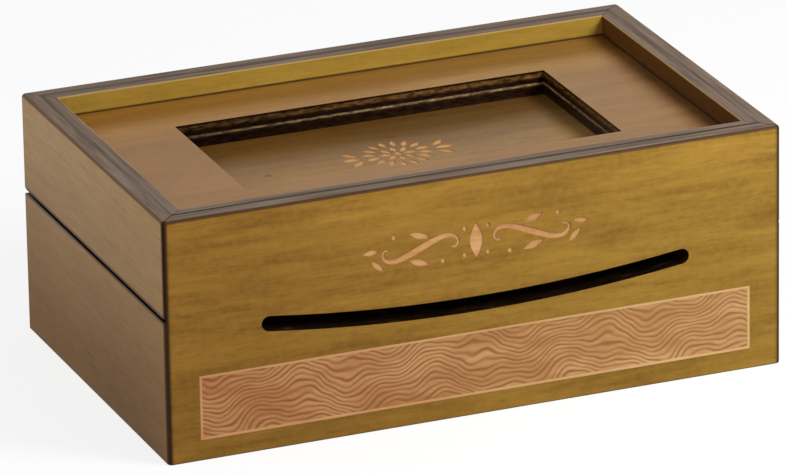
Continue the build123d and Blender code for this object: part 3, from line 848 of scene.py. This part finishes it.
def strip_grid(work, half_width):
    """The points of the strip's front, in rows from its foot up."""
    columns = round(2 * half_width / BAND_STEP)
    rows = round(BAND_HEIGHT / BAND_STEP)
    grid = []
    for row in range(rows + 1):
        height = BAND_HEIGHT * row / rows
        line = []
        for column in range(columns + 1):
            x = half_width * (2 * column / columns - 1)
            y = FRONT_Y + strip_depth(x, height, half_width)
            line.append(work.verts.new((x, y, BAND_FOOT + height)))
        grid.append(line)
    return grid


def engraved_strip(material):
    """Makes the wavy strip, a thin slab in its recess whose front is cut into grooves."""
    work = bmesh.new()
    grid = strip_grid(work, SIDE_X - BAND_MARGIN)
    for low, high in zip(grid, grid[1:]):
        for column in range(len(low) - 1):
            face = work.faces.new((low[column], low[column + 1], high[column + 1], high[column]))
            face.smooth = True
    rim = (
        grid[0]
        + [line[-1] for line in grid[1:]]
        + grid[-1][-2::-1]
        + [line[0] for line in grid[-2:0:-1]]
    )
    back = [work.verts.new((v.co.x, FRONT_Y + BAND_RECESS, v.co.z)) for v in rim]
    for index in range(len(rim)):
        following = (index + 1) % len(rim)
        work.faces.new((rim[index], back[index], back[following], rim[following]))
    work.faces.new(back)
    mesh = new_mesh("engraved_strip", work)
    mesh.materials.append(material)
    strip = new_object("engraved_strip", mesh)
    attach(strip, "base")


def on_front(u, v, w):
    """A point of the scroll, from millimetres on the front and a place along Y in metres."""
    return (u * MM, w, SCROLL_CENTRE + v * MM)


def on_picture(u, v, w):
    """A point of the rosette, from millimetres on the panel and a height in metres."""
    return (u * MM, v * MM, w)


def on_plan(u, v, w):
    """A point of a driver slot, seen from above, all in metres."""
    return (u, v, w)


def carve_ornaments(look):
    """Cuts the scroll into the front and the rosette into the picture panel."""
    scrolls = prisms(
        "scroll_cutter", scroll_outlines(), on_front,
        FRONT_Y - CUTTER_CLEARANCE, FRONT_Y + SCROLL_DEPTH,
    )
    carved(
        "carved_front", "front_panel", "base",
        scrolls, look["front"], look["engraved"],
    )
    rosette = prisms(
        "rosette_cutter", rosette_outlines(), on_picture,
        PICTURE_HIGH.z - ROSETTE_DEPTH, PICTURE_HIGH.z + CUTTER_CLEARANCE,
    )
    carved(
        "carved_picture", "picture_panel", "slider",
        rosette, look["picture"], look["engraved"],
    )


def carve_screws(look):
    """Cuts the driver slots: the base's screws show their heads above, the lid's below."""
    for body, outward in (("base", 1), ("lid", -1)):
        node = f"{body}_hinge_screws"
        low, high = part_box(node)
        head = high.z if outward > 0 else low.z
        slots = prisms(
            f"{body}_slot_cutter", slot_outlines(node), on_plan,
            head - outward * DRIVER_SLOT_DEPTH, head + outward * CUTTER_CLEARANCE,
        )
        carved(f"{body}_screws", node, body, slots, look["brass"], look["brass_slot"])


def make_object(look):
    """Gives every solid its finish, carves four of them and adds the engraved strip."""
    dress(look["back"], "base_back_panel", "lid_back_panel")
    for side in ("left", "right"):
        dress(look["side"], f"base_{side}_panel", f"lid_{side}_panel")
        dress(look["liner_side"], f"base_{side}_liner", f"lid_{side}_liner")
        dress(look["brass"], f"{side}_base_leaf", f"{side}_lid_leaf")
        dress(look["steel"], f"{side}_hinge_pin", f"{side}_lock_pin")
        dress(look["beech"], f"{side}_lock_lug")
    dress(look["liner_back"], "front_liner", "base_back_liner", "lid_back_liner", "lid_front_liner")
    dress(look["beech"], "bolt_keeper")
    dress(look["tray"], "window_top_sheet")
    dress(look["lower"], "window_lower_sheet")
    dress(look["raw"], "floor_panel", "slider_track", "lid_cover")
    carve_ornaments(look)
    engraved_strip(look["strip"])
    carve_screws(look)


def seen_directly(tree):
    """1 for what the camera sees, also in a reflection or through glass."""
    rays = tree.nodes.new("ShaderNodeLightPath")
    seen = rays.outputs["Is Camera Ray"]
    for name in ("Is Glossy Ray", "Is Transmission Ray"):
        largest = tree.nodes.new("ShaderNodeMath")
        largest.operation = "MAXIMUM"
        tree.links.new(seen, largest.inputs[0])
        tree.links.new(rays.outputs[name], largest.inputs[1])
        seen = largest.outputs[0]
    return seen


def blended(tree, share, first, second, output):
    """Sends two shaders to the tree's output, with the second one's share from a socket."""
    blend = tree.nodes.new("ShaderNodeMixShader")
    tree.links.new(share, blend.inputs[0])
    tree.links.new(first.outputs[0], blend.inputs[1])
    tree.links.new(second.outputs[0], blend.inputs[2])
    tree.links.new(blend.outputs[0], tree.nodes[output].inputs["Surface"])


def make_floor():
    work = bmesh.new()
    bmesh.ops.create_grid(work, x_segments=1, y_segments=1, size=FLOOR_SIZE / 2)
    mesh = new_mesh("floor", work)
    floor = new_object("floor", mesh)
    material = bpy.data.materials.new("floor")
    material.use_nodes = True
    tree = material.node_tree
    surface = tree.nodes["Principled BSDF"]
    surface.inputs["Base Color"].default_value = FLOOR_COLOUR
    surface.inputs["Roughness"].default_value = FLOOR_ROUGHNESS
    surface.inputs["Specular IOR Level"].default_value = FLOOR_GLOSS
    glow = tree.nodes.new("ShaderNodeEmission")
    glow.inputs["Strength"].default_value = FLOOR_GLOW_LEVEL
    share = tree.nodes.new("ShaderNodeMath")
    share.operation = "MULTIPLY"
    share.inputs[1].default_value = FLOOR_GLOW
    tree.links.new(seen_directly(tree), share.inputs[0])
    blended(tree, share.outputs[0], surface, glow, "Material Output")
    mesh.materials.append(material)


def make_surround():
    """A plain light all round, which the camera sees as white."""
    world = bpy.data.worlds.new("surround")
    bpy.context.scene.world = world
    world.use_nodes = True
    tree = world.node_tree
    light = tree.nodes["Background"]
    light.inputs["Color"].default_value = WHITE
    light.inputs["Strength"].default_value = SURROUND_LIGHT
    white = tree.nodes.new("ShaderNodeBackground")
    white.inputs["Color"].default_value = WHITE
    white.inputs["Strength"].default_value = 1.0
    blended(tree, seen_directly(tree), light, white, "World Output")


def make_lamps():
    aim = Vector((0, 0, RIM_Z / 2))
    for name, facts in LAMPS.items():
        data = bpy.data.lights.new(name, "AREA")
        data.shape = "DISK"
        data.size = facts["size"]
        data.energy = facts["power"]
        lamp = new_object(name, data)
        lamp.location = facts["place"]
        lamp.rotation_euler = (aim - lamp.location).to_track_quat("-Z", "Y").to_euler()


def make_camera():
    """The camera stands at the photograph's azimuth, elevation and roll, far off with a long lens."""
    cos_azimuth, sin_azimuth = math.cos(VIEW_AZIMUTH), math.sin(VIEW_AZIMUTH)
    cos_elevation, sin_elevation = math.cos(VIEW_ELEVATION), math.sin(VIEW_ELEVATION)
    back = Vector((sin_azimuth * cos_elevation, -cos_azimuth * cos_elevation, sin_elevation))
    level = Vector((cos_azimuth, sin_azimuth, 0))
    upright = back.cross(level)
    right = math.cos(VIEW_ROLL) * level + math.sin(VIEW_ROLL) * upright
    up = math.cos(VIEW_ROLL) * upright - math.sin(VIEW_ROLL) * level
    data = bpy.data.cameras.new("camera")
    data.sensor_fit = "HORIZONTAL"
    data.sensor_width = SENSOR_WIDTH
    data.lens = FOCAL_PIXELS * SENSOR_WIDTH / IMAGE_WIDTH
    data.clip_end = VIEW_REACH
    camera = new_object("camera", data)
    place = right * AIM_RIGHT + up * AIM_UP + back * VIEW_DISTANCE
    turn = Matrix((right, up, back)).transposed().to_4x4()
    camera.matrix_world = Matrix.Translation(place) @ turn
    bpy.context.scene.camera = camera


make_camera()
make_object(make_materials())
make_floor()
make_surround()
make_lamps()
bpy.context.scene.view_settings.view_transform = "Standard"
